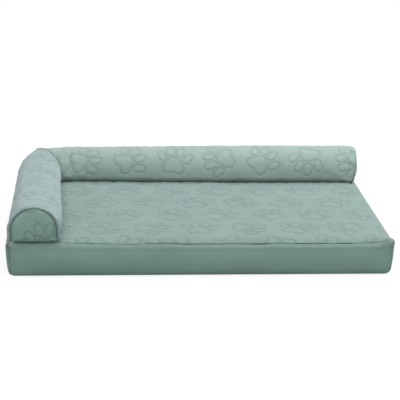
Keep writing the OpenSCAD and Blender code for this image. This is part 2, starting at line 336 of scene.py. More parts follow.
def flat_cloth(mesh):
    """Where each point of a mesh lies on the cloth before it is sewn, from its UV map in metres."""
    corner = np.empty(len(mesh.loops), np.int32)
    mesh.loops.foreach_get("vertex_index", corner)
    place = np.empty(len(mesh.loops) * 2)
    mesh.uv_layers["flat_cloth"].data.foreach_get("uv", place)
    flat = np.zeros((len(mesh.vertices), 2))
    flat[corner] = place.reshape(-1, 2)
    return flat[:, 0], flat[:, 1]


def set_flat_cloth(mesh, u, v):
    corner = np.empty(len(mesh.loops), np.int32)
    mesh.loops.foreach_get("vertex_index", corner)
    layer = mesh.uv_layers.get("flat_cloth") or mesh.uv_layers.new(name="flat_cloth")
    layer.data.foreach_set("uv", np.stack((u[corner], v[corner]), 1).ravel())


def keep_weld_distance(mesh, distance):
    """Stores the distance from the paw outline, which the velvet's material draws welds from."""
    mesh.attributes.new("weld_distance", "FLOAT", "POINT").data.foreach_set("value", distance)


def keep_painted_shade(mesh, shade):
    """Stores painted shade at each point: how far the velvet's colour is darkened in seams, creases and
    pits, by feet and under the bolsters' ends, where shade falls.
    """
    mesh.attributes.new("painted_shade", "FLOAT", "POINT").data.foreach_set("value", np.clip(shade, 0, 1))


def crumple(points, scale, stretch=(1, 1, 1)):
    """Smooth noise from -1 to 1 at each point, with features of about 1 / scale metres."""
    steps = [scale * part for part in stretch]
    return np.array([noise.noise(Vector([c * step for c, step in zip(point, steps)])) for point in points])


def velvet(name, colour, sheen, welded):
    """Short-pile velvet: a soft sheen, brush marks in the nap, and fine fibres. Welded velvet also
    has two rows of pressed dots along the paw outlines."""
    look, tree, cloth = surface(name, {
        "Roughness": 0.85,
        "Specular IOR Level": 0.15,
        "Sheen Weight": sheen,
        "Sheen Roughness": 0.38,
        "Sheen Tint": (0.88, 0.95, 1.0, 1),
    })
    place = shader_node(tree, "TexCoord")
    # The nap lies in soft patches, where a hand or a paw has brushed it
    patches = shader_node(tree, "TexNoise", {"Scale": 14, "Detail": 4, "Roughness": 0.55})
    brushed = tones(tree, colour, 0.955, 1.045, 0.3, 0.7)
    fibres = shader_node(tree, "TexNoise", {"Scale": 1400, "Detail": 2})
    pile = shader_node(tree, "Bump", {"Strength": 0.35, "Distance": 0.0004})
    # Painted shade: the stored painted shade darkens the colour in seams, pits and creases, by the
    # bolsters' feet, over the strips' upper edges and under the bolsters' ends, where shade falls
    seams = shader_node(tree, "Attribute", attribute_name="painted_shade")
    deep = shader_node(tree, "Mix", {7: (0.34, 0.40, 0.40, 1)}, data_type="RGBA", blend_type="MULTIPLY")
    wire(
        tree,
        (place, "Object", patches, "Vector"),
        (place, "Object", fibres, "Vector"),
        (patches, "Fac", brushed, "Fac"),
        (fibres, "Fac", pile, "Height"),
        (seams, "Fac", deep, "Factor"),
    )
    if not welded:
        # Painted sheen: over the strips' upper edges and on the corner ears the colour is mixed towards a
        # pale grey, standing in for light catching the turn of the cloth
        sheen_paint = shader_node(tree, "Attribute", attribute_name="painted_sheen")
        pale = shader_node(tree, "Mix", {7: (0.30, 0.32, 0.33, 1)}, data_type="RGBA")
        wire(
            tree,
            (sheen_paint, "Fac", pale, "Factor"),
            (brushed, "Color", pale, 6),
            (pale, 2, deep, 6),
            (deep, 2, cloth, "Base Color"),
            (pile, "Normal", cloth, "Normal"),
        )
        return look
    # Two rows of dots, one to each side of the outline
    outline = shader_node(tree, "Attribute", attribute_name="weld_distance")
    side = shader_node(tree, "Math", operation="ABSOLUTE")
    off_row = shader_node(tree, "Math", {1: weld_row_offset}, operation="SUBTRACT")
    off_line = shader_node(tree, "Math", operation="ABSOLUTE")
    row = shader_node(
        tree, "MapRange", {"From Min": 0.0002, "From Max": 0.0011, "To Min": 1, "To Max": 0},
        interpolation_type="SMOOTHSTEP",
    )
    dots = shader_node(tree, "TexVoronoi", {"Scale": 480, "Randomness": 0.35})
    dot = shader_node(tree, "MapRange", {"From Min": 0.15, "From Max": 0.75, "To Min": 1, "To Max": 0.35})
    pressed = shader_node(tree, "Math", operation="MULTIPLY")
    dark = shader_node(tree, "Mix", {7: (0.78, 0.81, 0.81, 1)}, data_type="RGBA", blend_type="MULTIPLY")
    welds = shader_node(tree, "Bump", {"Strength": 0.8, "Distance": 0.0008}, invert=True)
    wire(
        tree,
        (brushed, "Color", deep, 6),
        (outline, "Fac", side, 0),
        (side, 0, off_row, 0),
        (off_row, 0, off_line, 0),
        (off_line, 0, row, "Value"),
        (place, "UV", dots, "Vector"),
        (dots, "Distance", dot, "Value"),
        (row, "Result", pressed, 0),
        (dot, "Result", pressed, 1),
        (pressed, 0, dark, "Factor"),
        (deep, 2, dark, 6),
        (dark, 2, cloth, "Base Color"),
        (pressed, 0, welds, "Height"),
        (pile, "Normal", welds, "Normal"),
        (welds, "Normal", cloth, "Normal"),
    )
    return look


# One velvet in lit and shaded copies, as painted light and shade: the bolsters' copies are lighter, and
# differ a little from each other as pieces cut along different ways of the nap; the sleeping panel's is
# darker, as painted shade; the end panels' is set to the strips' tone
left_velvet = velvet("left_bolster_velvet", (0.272, 0.359, 0.341), sheen=0.46, welded=True)
back_velvet = velvet("back_bolster_velvet", (0.291, 0.370, 0.344), sheen=0.54, welded=True)
shaded_panel_velvet = velvet("shaded_panel_velvet", (0.203, 0.285, 0.258), sheen=0.58, welded=True)
end_velvet = velvet("end_velvet", (0.204, 0.314, 0.270), sheen=0.32, welded=True)
plain_velvet = velvet("plain_velvet", (0.204, 0.325, 0.276), sheen=0.22, welded=False)


# The bolsters are sewn down to the panel, which puffs up in front of them. They are narrower
# there than higher up, except at their free ends, which the end panels hold open.
left_low, left_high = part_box("left_bolster_face")
back_low, back_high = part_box("back_bolster_face")
tube_r = (left_high.x - left_low.x) / 2
corner_x = (left_low.x + left_high.x) / 2
corner_y = (back_low.y + back_high.y) / 2
back_overhang = 0.005
left_length = corner_y - left_low.y
back_length = back_high.x - corner_x + back_overhang
foot_narrow = 0.036
# Half the width of the foot at the free end, how far the top of the end leans out, and how much
# higher it stands than the corner
left_free_end = (0.052, 0.0, 0.0)
back_free_end = (0.035, 0.0055, 0.0032)


def foot_half_width(from_end, free_end):
    """Half the width of a bolster's foot at a distance from its free end."""
    return foot_narrow + (free_end[0] - foot_narrow) * np.exp(-(from_end / 0.034) ** 2)


def inner_share(from_corner):
    """The bolsters' inner sides draw in towards the corner, where the mitre holds them."""
    ease = np.clip((from_corner - 0.06) / 0.34, 0, 1)
    return 0.815 + 0.185 * ease * ease * (3 - 2 * ease)


half_x, half_y = panel_high.x, panel_high.y


def seam_drop(x, y):
    """How far the seam at the quilt's edge lies below its middle: it waves, and rises at the corners
    and towards the bolsters."""
    to_corner = np.clip(np.maximum(half_x - np.abs(x), half_y - np.abs(y)), 0, None)
    to_bolster = np.minimum(x - corner_x - left_free_end[0], corner_y - back_free_end[0] - y)
    wave = crumple(np.stack((x, y, np.zeros(len(x))), 1), 24)
    drop = seam_dip * (1 + 0.40 * wave) * (1 - np.exp(-to_corner / 0.010))
    drop *= 1 - 0.65 * np.exp(-((half_x - x) / 0.020) ** 2)
    beside = np.exp(-np.clip(to_bolster, 0, None) / 0.050)
    return drop * (1 - 0.75 * beside) - corner_lift * np.exp(-(to_corner / 0.014) ** 2) * (1 - beside)


panel_crown = 0.0026
seam_pucker = 0.0028
rumple_height = 0.0025
panel_mesh = slab("sleeping_panel", half_x, half_y, cell=0.0022)
points = read_points(panel_mesh)
on_top = points[:, 2] > -0.5
x, y = round_corners(points[:, 0], points[:, 1], half_x, half_y, 0.008)
inward = np.minimum(half_x - np.abs(x), half_y - np.abs(y))
left_foot = foot_half_width(y - corner_y + left_length, left_free_end) * inner_share(corner_y - y)
back_foot = foot_half_width(corner_x + back_length - x, back_free_end) * inner_share(x - corner_x)
from_left_foot, from_back_foot = x - corner_x - left_foot, corner_y - y - back_foot
from_seam = np.clip(np.minimum(inward, np.minimum(from_left_foot, from_back_foot)), 0, None)
distance = paw_distance(x, y)
level = np.stack((x, y, np.zeros(len(x))), 1)
height = quilt_height(distance) * (1 - np.exp(-inward / 0.006)) * (1 + 0.6 * crumple(level, 6))
height -= seam_drop(x, y) * np.exp(-inward / seam_slope)
height += panel_crown * (1 - np.exp(-from_seam / 0.009))
open_cloth = 1 - np.exp(-from_seam / 0.03)
height += 0.0008 * crumple(level, 9) + 0.0012 * crumple(level, 9, (1, 4.5, 1)) * open_cloth
height += 0.0004 * crumple(level, 21, (1, 4, 1)) * open_cloth
# The seams gather the quilt's edge into shallow puckers
gather = seam_pucker * np.exp(-inward / 0.013) + 0.0006 * np.exp(-from_seam / 0.013)
height += gather * crumple(level, 62, (1, 0.6, 1)) * (1 - np.exp(-from_seam / 0.003))
# and the quilt is rumpled in front of the left bolster's free end
beside_end = np.hypot(x - corner_x - 0.11, y + half_y) / 0.08
rumple = rumple_height * crumple(level, 46, (1, 1.7, 1))
height += rumple * np.exp(-beside_end ** 2) * (1 - np.exp(-from_seam / 0.004))
points[:, 0], points[:, 1] = x, y
points[:, 2] = np.where(on_top, seam_z + height, wadding_low)
move_points(panel_mesh, points)
set_flat_cloth(panel_mesh, x, y)
keep_weld_distance(panel_mesh, distance)
# Painted shade along the panel's seams and the bolsters' feet, in patches, and faint along the right edge
seam_patch = (0.32 + 0.6 * crumple(level, 30)) * (1 - 0.9 * np.exp(-((half_x - x) / 0.004) ** 2))
keep_painted_shade(panel_mesh, np.clip(seam_patch, 0.05, 1) * np.exp(-(from_seam / 0.0014) ** 2))
panel = add_piece("sleeping_panel", panel_mesh, shaded_panel_velvet)
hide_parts("sleep_panel_face", "sleep_panel_wadding", "sleep_panel_backing")

# ---------------------------------------------------------------- plain velvet side strips

# Four strips of plain velvet go round the foam. Each turns over the rounded top and bottom
# edges into the seams there, and they meet each other in a seam down each corner.
corner_radius = 0.020
top_edge, bottom_edge = 0.012, 0.014
bed_half_x = panel_high.x + top_edge
bed_half_y = panel_high.y + top_edge
strip_cloth = 0.0012
# How far the foam pushes the cloth out between the seams, and the wall leans in towards the floor
wall_bulge = 0.0034
wall_lean = 0.0042
# How far the ear at the top of each corner stands out and up
ear_out, ear_up = 0.0048, 0.0042
# How far down from the seam the painted sheen and painted shade reach, and the strip follows the wave of
# the seam
lip_paint_height = 0.026
follow_height = 0.032


def strip_section(t):
    """How far in from the side, and how high, a share t of the way from the lower seam to the upper.
    The upper edge is a gentle slope that ends in a tight turn, where the foam's edge is."""
    slope_length, turn_length = 0.0118, 0.0042
    lower_arc = bottom_edge * math.pi / 2
    down = np.linspace(0, slope_length + turn_length, 60)
    tilt = np.where(
        down < slope_length,
        np.radians(10 + 34 * down / slope_length),
        np.radians(44 + 46 * (down - slope_length) / turn_length),
    )
    step = down[1] - down[0]
    level = np.concatenate(([0], np.cumsum(np.cos(tilt[1:]) * step)))
    drop = np.concatenate(([0], np.cumsum(np.sin(tilt[1:]) * step)))
    wall = seam_z - drop[-1] - bottom_edge
    whole = lower_arc + wall + down[-1]
    run = t * whole
    low = np.clip(run / bottom_edge, 0, math.pi / 2)
    from_top = np.clip(whole - run, 0, down[-1])
    inset = bottom_edge * (1 - np.sin(low)) + level[-1] - np.interp(from_top, down, level)
    z = bottom_edge * (1 - np.cos(low)) + np.clip(run - lower_arc, 0, wall)
    z += drop[-1] - np.interp(from_top, down, drop)
    return inset, z, whole


def cloth_grid(name, columns, rows, matrix=Matrix()):
    """A flat grid of cloth, from -1 to 1 each way before the matrix, with room for its UV map."""
    bm = bmesh.new()
    bm.loops.layers.uv.new("flat_cloth")
    bmesh.ops.create_grid(bm, x_segments=columns, y_segments=rows, size=1, matrix=matrix)
    return keep_mesh(bm, name)


strip_height = float(strip_section(np.zeros(1))[2])
tape_low, tape_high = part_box("zipper_tape_upper")
zip_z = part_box("rear_gusset_upper")[0].z
zip_t = (zip_z + bottom_edge * math.pi / 2 - bottom_edge) / strip_height
slot_half_height = 0.0055
slot_half_width = (tape_high.x - tape_low.x) / 2 - 0.010
hem = 0.0056


def strip_mesh(
    name, side_length, reach, turned, step, seed, pile=(0.25, 0.45), under=(9, 9), part="whole",
):
    """A strip that faces -Y, at a distance of reach from the origin. Over its upper edge a painted sheen
    and a painted shade lie as far as pile says, and a bolster's end lies over the stretch that under names,
    with painted shadow below it. The upper and lower parts leave a slot for the zipper between them."""
    straight = side_length / 2 - corner_radius
    half_length = straight + corner_radius * math.pi / 4
    from_t, to_t = {"whole": (0, 1), "upper": (zip_t, 1), "lower": (0, zip_t)}[part]
    mesh = cloth_grid(name, round(2 * half_length / step), round((to_t - from_t) * strip_height / step))
    points = read_points(mesh)
    s = points[:, 0] * half_length
    t = from_t + (points[:, 1] + 1) / 2 * (to_t - from_t)
    in_slot = np.clip((slot_half_width - np.abs(s)) / 0.004, 0, 1)
    if part != "whole":
        away = np.abs(t - zip_t) / (to_t - from_t)
        side = 1 if part == "upper" else -1
        t = t + side * slot_half_height / strip_height * in_slot * (1 - away)
    inset, z, _ = strip_section(t)
    wall = np.sin(np.clip((z - 0.004) / (seam_z - 0.008), 0, 1) * math.pi)
    from_corner = half_length - np.abs(s)
    from_top = (1 - t) * strip_height
    at = np.stack((s + seed, t * strip_height, np.zeros(len(s))), 1)
    out = wall_bulge * wall * (1 - np.exp(-from_corner / 0.03))
    out -= wall_lean * (1 - z / seam_z) * np.clip(z / 0.010, 0, 1)
    free = 1 - np.exp(-from_corner / 0.015)
    out += free * wall * (0.0010 * crumple(at, 7) + 0.0003 * crumple(at, 22, (1, 0.35, 1)))
    out += free * 0.0008 * crumple(at, 55, (1, 0.25, 1)) * np.exp(-from_top / 0.012)
    # Down each corner the two strips turn in to their seam, which puckers them, and they stand
    # out as a small ear at its top
    out -= 0.0010 * np.exp(-(from_corner / 0.0022) ** 2)
    pucker = np.exp(-from_corner / 0.010) * (1 - np.exp(-from_corner / 0.002))
    out += 0.0012 * crumple(at, 90, (0.3, 1, 1)) * pucker
    ear = np.exp(-(from_corner / 0.010) ** 2) * np.exp(-((from_top - 0.009) / 0.010) ** 2)
    out += ear_out * ear
    # Under a bolster's end the cloth is pulled in below the seam
    below_end = np.clip((s - under[0]) / 0.012, 0, 1) * np.clip((under[1] - s) / 0.012, 0, 1)
    out -= 0.0016 * below_end * np.exp(-((from_top - 0.0095) / 0.0055) ** 2)
    z = z + ear_up * ear + 0.0010 * np.exp(-t * strip_height / 0.003)
    if part != "whole":
        # Along the zipper the cloth lies flat on the tapes. It is folded into a hem at the
        # slot, with a row of stitches that sinks into it
        flatter = np.exp(-((t - zip_t) * strip_height / 0.018) ** 2)
        out *= 1 - flatter * np.clip((half_length - 0.012 - np.abs(s)) / 0.030, 0, 1)
        from_edge = np.abs(t - zip_t) * strip_height - slot_half_height
        out += in_slot * 0.0006 * np.exp(-((from_edge - 0.45 * hem) / 0.0020) ** 2)
        out -= in_slot * 0.0006 * np.exp(-((from_edge - hem) / 0.0012) ** 2)
    radius = corner_radius - inset + out
    turn = np.clip((np.abs(s) - straight) / corner_radius, 0, None)
    points[:, 0] = np.sign(s) * (np.minimum(np.abs(s), straight) + radius * np.sin(turn))
    points[:, 1] = -(reach - corner_radius + radius * np.cos(turn))
    # The seam waves with the quilt's edge, and takes the upper part of the strip with it
    c, d = math.cos(math.radians(turned)), math.sin(math.radians(turned))
    follow = np.clip(1 - from_top / follow_height, 0, 1)
    drop = seam_drop(c * points[:, 0] - d * points[:, 1], d * points[:, 0] + c * points[:, 1])
    points[:, 2] = np.maximum(z - drop * follow * follow * (3 - 2 * follow), 0.0004)
    move_points(mesh, points)
    set_flat_cloth(mesh, s, t * strip_height)
    # Painted light and shade: a painted sheen and painted shade over the upper edge, a painted sheen on the
    # ear at the top of each corner, painted shade in the corner seam, and painted shadow under a bolster's
    # end
    over_edge = np.clip((lip_paint_height - from_top) / 0.014, 0, 1)
    over_edge *= over_edge * (3 - 2 * over_edge)
    keep_painted_sheen(mesh, pile[0] * over_edge + 0.40 * ear)
    shade = pile[1] * (over_edge + 0.3 * np.exp(-(from_top / 0.0015) ** 2)) * (1 - 0.8 * ear)
    shade += 0.15 * np.exp(-(from_corner / 0.0015) ** 2)
    keep_painted_shade(mesh, shade + 0.38 * below_end * np.exp(-(from_top / 0.013) ** 2))
    return mesh, (2 * half_length, (to_t - from_t) * strip_height)


def keep_painted_sheen(mesh, sheen_paint):
    """Stores how much painted sheen, a pale grey mixed into the colour, lies at each point."""
    mesh.attributes.new("painted_sheen", "FLOAT", "POINT").data.foreach_set("value", sheen_paint)


def sew_on_strip(name, mesh, flat, turn, *stands_for):
    mesh.transform(Matrix.Rotation(math.radians(turn), 4, "Z"))
    strip = add_piece(name, mesh, plain_velvet)
    wall = strip.modifiers.new("cloth", "SOLIDIFY")
    wall.thickness = strip_cloth
    wall.offset = -1
    finer = strip.modifiers.new("finer", "SUBSURF")
    finer.levels = finer.render_levels = 1
    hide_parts(*stands_for)
    return strip


left_end_x = corner_x + left_free_end[0]
back_end_y = corner_y - back_free_end[0]
# pile gives each strip's painted sheen and painted shade over its upper edge
for name, side_length, reach, turn, seed, pile, under, node in (
    ("front_strip", 2 * bed_half_x, bed_half_y, 0, 0.0, (0.25, 0.45), (-9, left_end_x), "front_gusset"),
    ("right_strip", 2 * bed_half_y, bed_half_x, 90, 1.3, (0.45, 0.12), (back_end_y, 9), "right_gusset"),
    ("left_strip", 2 * bed_half_y, bed_half_x, -90, 2.6, (0.25, 0.3), (9, 9), "left_gusset"),
):
    mesh, flat = strip_mesh(name, side_length, reach, turn, 0.004, seed, pile, under)
    sew_on_strip(name, mesh, flat, turn, node)

# ---------------------------------------------------------------- rear strip and zipper

# The rear strip is made in two, with the zipper between them: its cloth is turned in along the
# slot and topstitched to the tapes with polyester thread.
for part in ("upper", "lower"):
    mesh, flat = strip_mesh("rear_strip_" + part, 2 * bed_half_x, bed_half_y, 180, 0.0028, 4.1, part=part)
    sew_on_strip("rear_strip_" + part, mesh, flat, 180, "rear_gusset_" + part)

stitch_pitch, stitch_length, stitch_r = 0.0036, 0.0030, 0.00034
stitch_y = bed_half_y - 0.0001
stitches_bm = bmesh.new()


def stitch(x, z, turn=0.0):
    shape = Matrix.Diagonal((stitch_length / 2, stitch_r, stitch_r, 1))
    place = Matrix.Translation((x, stitch_y, z)) @ Matrix.Rotation(turn, 4, "Y")
    # The sphere's poles lie along the stitch
    poles = Matrix.Rotation(math.pi / 2, 4, "Y")
    matrix = place @ shape @ poles
    bmesh.ops.create_uvsphere(stitches_bm, u_segments=6, v_segments=5, radius=1, matrix=matrix)


stitch_count = int(2 * slot_half_width / stitch_pitch)
stitch_row_z = slot_half_height + hem
for index in range(stitch_count + 1):
    for side in (-1, 1):
        stitch((index - stitch_count / 2) * stitch_pitch, zip_z + side * stitch_row_z)
# A bar of stitches closes each end of the slot
for end in (-1, 1):
    for index in range(6):
        stitch(end * (slot_half_width + 0.0035), zip_z + (index - 2.5) * stitch_pitch, math.pi / 2)
stitches_mesh = keep_mesh(stitches_bm, "zipper_topstitching")


# A wave texture of scale 1 has a band every 0.314 m
band_spacing = 0.314


def woven(name, colour, thread, depth, slant=0.0, sheen=0.0):
    """Woven cloth: warp and weft threads as crossed bands, with an uneven dye."""
    look, tree, cloth = surface(name, {"Roughness": 0.8, "Specular IOR Level": 0.25, "Sheen Weight": sheen})
    place = shader_node(tree, "TexCoord")
    turn = shader_node(tree, "Mapping", {"Rotation": (0, slant, slant)})
    weave = shader_node(tree, "Math", operation="MULTIPLY")
    for socket, direction in enumerate(("X", "Y" if slant == 0 else "Z")):
        bands = {"Scale": band_spacing / thread, "Distortion": 0.4}
        threads = shader_node(tree, "TexWave", bands, bands_direction=direction)
        wire(tree, (turn, "Vector", threads, "Vector"), (threads, "Fac", weave, socket))
    dye = shader_node(tree, "TexNoise", {"Scale": 30, "Detail": 4})
    tone = shader_node(tree, "Math", operation="ADD")
    shade = tones(tree, colour, 0.70, 1.25, 0.3, 1.3 / 1.4)
    relief = shader_node(tree, "Bump", {"Strength": 0.8, "Distance": depth})
    wire(
        tree,
        (place, "Object", turn, "Vector"),
        (place, "Object", dye, "Vector"),
        (weave, 0, tone, 0),
        (dye, "Fac", tone, 1),
        (tone, 0, shade, "Fac"),
        (shade, "Color", cloth, "Base Color"),
        (weave, 0, relief, "Height"),
        (relief, "Normal", cloth, "Normal"),
    )
    return look


thread_look = woven("polyester_thread", (0.17, 0.26, 0.23), 0.0004, 0.0001, slant=0.6, sheen=0.2)
stitches = add_piece("zipper_topstitching", stitches_mesh, thread_look)


def hard(name, colour, metallic, roughness, scratch_depth):
    """Moulded plastic or plated metal: an uneven gloss, with fine scuffs along the zipper."""
    look, tree, skin = surface(name, {"Metallic": metallic})
    place = shader_node(tree, "TexCoord")
    along = shader_node(tree, "Mapping", {"Scale": (0.15, 1, 1)})
    scuffs = shader_node(tree, "TexNoise", {"Scale": 2600, "Detail": 3})
    gloss = shader_node(tree, "MapRange", {"To Min": roughness - 0.10, "To Max": roughness + 0.14})
    patches = shader_node(tree, "TexNoise", {"Scale": 260})
    shade = tones(tree, colour, 0.82, 1.12)
    marks = shader_node(tree, "Bump", {"Strength": 0.4, "Distance": scratch_depth})
    wire(
        tree,
        (place, "Object", along, "Vector"),
        (along, "Vector", scuffs, "Vector"),
        (place, "Object", patches, "Vector"),
        (scuffs, "Fac", gloss, "Value"),
        (gloss, "Result", skin, "Roughness"),
        (patches, "Fac", shade, "Fac"),
        (shade, "Color", skin, "Base Color"),
        (scuffs, "Fac", marks, "Height"),
        (marks, "Normal", skin, "Normal"),
    )
    return look


# Herringbone tape, moulded acetal teeth, and nickel-plated stops, slider and pull
tape_look = woven("zipper_tape", (0.13, 0.20, 0.175), 0.0007, 0.00015, slant=0.5)
teeth_look = hard("moulded_teeth", (0.14, 0.21, 0.185), 0.0, 0.42, 0.00002)
nickel = hard("nickel_plate", (0.62, 0.61, 0.58), 1.0, 0.30, 0.00001)
for look, names in (
    (tape_look, ("zipper_tape_upper", "zipper_tape_lower")),
    (teeth_look, ("zipper_teeth_upper", "zipper_teeth_lower")),
    (nickel, ("zipper_stops", "zipper_slider", "zipper_pull")),
):
    for name in names:
        for place in nodes[name].material_slots:
            place.material = look

# ---------------------------------------------------------------- base panel

# The bed lies on a panel of plain woven polyester, cut to the outline of the bottom seam and
# pulled flat by the strips that it is sewn to.
base_low, base_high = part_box("base_panel")
base_cloth = woven("base_cloth", (0.055, 0.068, 0.063), 0.0011, 0.0003)
base_x, base_y = bed_half_x - bottom_edge, bed_half_y - bottom_edge
base_cell = 0.005
base_mesh = cloth_grid(
    "base_panel_cloth", round(2 * base_x / base_cell), round(2 * base_y / base_cell),
    Matrix.Diagonal((base_x, base_y, 1, 1)),
)
points = read_points(base_mesh)
x, y = round_corners(points[:, 0], points[:, 1], base_x, base_y, 0.008)
inward = np.minimum(base_x - np.abs(x), base_y - np.abs(y))
level = np.stack((x, y, np.zeros(len(x))), 1)
puckers = np.abs(crumple(level, 40)) * np.exp(-inward / 0.020)
points[:, 0], points[:, 1] = x, y
points[:, 2] = 0.0002 + 0.0010 * np.exp(-inward / 0.003) + 0.0010 * puckers
move_points(base_mesh, points)
set_flat_cloth(base_mesh, x, y)
base = add_piece("base_panel_cloth", base_mesh, base_cloth)
base_wall = base.modifiers.new("cloth", "SOLIDIFY")
base_wall.thickness = base_high.z - base_low.z - 0.0002
base_wall.offset = 1
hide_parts("base_panel")

# ---------------------------------------------------------------- stuffed bolsters

# Each bolster is a tube of the same quilt, sewn down to the sleeping panel along both edges
# and blown full of fibre. The two meet in a mitre, which rounds the outer corner like a ball.
# The cloth is a flat grid that is rolled into place, and then swells under the fill.
axis_z = left_high.z - tube_r
axis_drop = axis_z - seam_z
tube_wide, tube_high = 1.045 * tube_r, 0.965 * tube_r
lip_r = 0.0042
lip_turn = 3.0
end_swell = 0.055
corner_draw = 0.0105


def round_half(inset=0.0):
    """The angle from the crest of the tube down to its seam on the panel."""
    return math.pi - np.arccos(axis_drop / (tube_high - inset))


foot_tuck = 1 - math.sin(float(round_half()))


def tube_section(around, foot, inset=0.0):
    """Out from the middle line and up from the axis at an angle round the tube. Below the axis the
    sides draw in to a foot of the given half width."""
    out = np.sin(around)
    draw = (1 - foot / tube_wide) * ((1 - np.abs(out)) / foot_tuck) ** 2.2
    out = np.where(np.abs(around) > math.pi / 2, np.sign(around) * (1 - draw), out)
    return (tube_wide - inset) * out, (tube_high - inset) * np.cos(around)


def roll_up(u, share, length, free_end):
    """Place on a bolster of a point u along its cloth and a share (-1 to 1) of the way round it, as
    distances along from the corner, out from the middle line, and up. The cloth turns in over a lip
    at its free end, which is thinnest on top, and it turns about the upright axis past the corner."""
    lip = np.clip((u - length + lip_r) / lip_r, 0, None)
    around = np.minimum(np.abs(share * float(round_half())), math.pi / 2)
    roll = lip_r * (0.22 + 0.86 * (np.hypot(np.sin(around), 0.12) - 0.12))
    inset = roll * (1 - np.cos(lip))
    along = np.minimum(u, length - lip_r) + roll * np.sin(lip)
    out, up = tube_section(share * round_half(inset), foot_half_width(length - along, free_end), inset)
    # The end is a little fuller on the outer side, and leans
    near_end = np.exp(-((length - along) / 0.07) ** 2)
    out = np.where(out < 0, out * inner_share(along), out * (1 + end_swell * near_end))
    along = along + free_end[1] * np.clip(up / tube_high, -0.3, 1) * near_end
    # The tube is stuffed fuller away from the corner
    fuller = np.clip((along - 0.12) / 0.35, 0, 1)
    up = up + free_end[2] * fuller * fuller * (3 - 2 * fuller) * (up + axis_drop) / (tube_high + axis_drop)
    past = np.where(u < 0, -u / np.where(out > 1e-6, out, 1), 0)
    along = np.where(u < 0, -out * np.sin(past), along)
    return along, out * np.cos(past), axis_z + up


def swell(mesh, held, pressure, slack, most):
    """Blows the cloth up from inside with its held points sewn down, and caps how far it moves."""
    body = bpy.data.objects.new("cloth_in_work", mesh)
    scene.collection.objects.link(body)
    pins = body.vertex_groups.new(name="held")
    for index in np.flatnonzero(held > 0.01):
        pins.add([int(index)], float(held[index]), "REPLACE")
    start = read_points(mesh)
    cloth = body.modifiers.new("cloth", "CLOTH")
    cloth.settings.quality = 5
    cloth.settings.mass = 0.15
    cloth.settings.tension_stiffness = 20
    cloth.settings.compression_stiffness = 20
    cloth.settings.shear_stiffness = 8
    cloth.settings.bending_stiffness = 0.3
    cloth.settings.shrink_min = -slack
    cloth.settings.use_pressure = True
    cloth.settings.uniform_pressure_force = pressure
    cloth.settings.vertex_group_mass = "held"
    cloth.settings.effector_weights.gravity = 0
    cloth.collision_settings.use_collision = False
    cloth.collision_settings.use_self_collision = False
    for frame_number in range(1, 22):
        scene.frame_set(frame_number)
    swollen = body.evaluated_get(bpy.context.evaluated_depsgraph_get())
    moved = read_points(swollen.data) - start
    scene.frame_set(1)
    bpy.data.objects.remove(body)
    far = np.linalg.norm(moved, axis=1)
    moved *= np.minimum(1, most / np.maximum(far, 1e-9))[:, None]
    move_points(mesh, start + moved)
    mesh.update()


def normals_of(mesh):
    flat = np.empty(len(mesh.vertices) * 3)
    mesh.vertices.foreach_get("normal", flat)
    return flat.reshape(-1, 3)


def close_bolster(bm):
    """Closes a bolster underneath, where it lies on the panel, and at both ends."""
    base = [e for e in bm.edges if e.is_boundary and max(v.co.z for v in e.verts) < seam_z + 0.0012]
    bmesh.ops.bridge_loops(bm, edges=base)
    for _ in range(2):
        rim = [e for e in bm.edges if e.is_boundary]
        if rim:
            bmesh.ops.holes_fill(bm, edges=rim, sides=0)


def put_in_place(bm, mesh, side):
    bmesh.ops.transform(bm, matrix=side, verts=bm.verts)
    bmesh.ops.recalc_face_normals(bm, faces=bm.faces)
    bm.to_mesh(mesh)
    bm.free()


# Blown polyester fibre, which fills each tube
fibre_fill = spongy("fibre_fill", (0.90, 0.90, 0.88), grain=260, depth=0.0020, roughness=0.9)
quilt_thickness = 0.0060
fill_gap = 0.010


def stuff(name, cloth, kept, side, node):
    """The fibre inside a bolster takes the shape of its cloth, one quilt's thickness further in. It
    stops behind the end panel, so only the kept points count."""
    points = read_points(cloth) - quilt_thickness * normals_of(cloth)
    points[:, 2] = np.maximum(points[:, 2], seam_z + 0.0004)
    low = points[:, 2] < seam_z + 0.0030
    points[low, 2] = seam_z + 0.0004
    mesh = cloth.copy()
    mesh.name = name
    move_points(mesh, points)
    bm = bmesh.new()
    bm.from_mesh(mesh)
    bmesh.ops.delete(bm, geom=[v for v in bm.verts if not kept[v.index]], context="VERTS")
    close_bolster(bm)
    put_in_place(bm, mesh, side)
    fill = add_piece(name, mesh, fibre_fill)
    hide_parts(node)


tube_cell = 0.0052
cells_round_tube = 40
# How deep the mitre and the lip's seam are drawn in, and how high the creases, the gathers by the
# seams, the fold and the pits by the foot are
mitre_depth = 0.0020
lip_seam_depth = 0.0012
crease_height = 0.0016
mitre_gather, end_gather = 0.0010, 0.0022
fold_depth = 0.0016
pit_depth = 0.0048
# How much painted shade lies along the lip's seam
lip_shade = 0.40


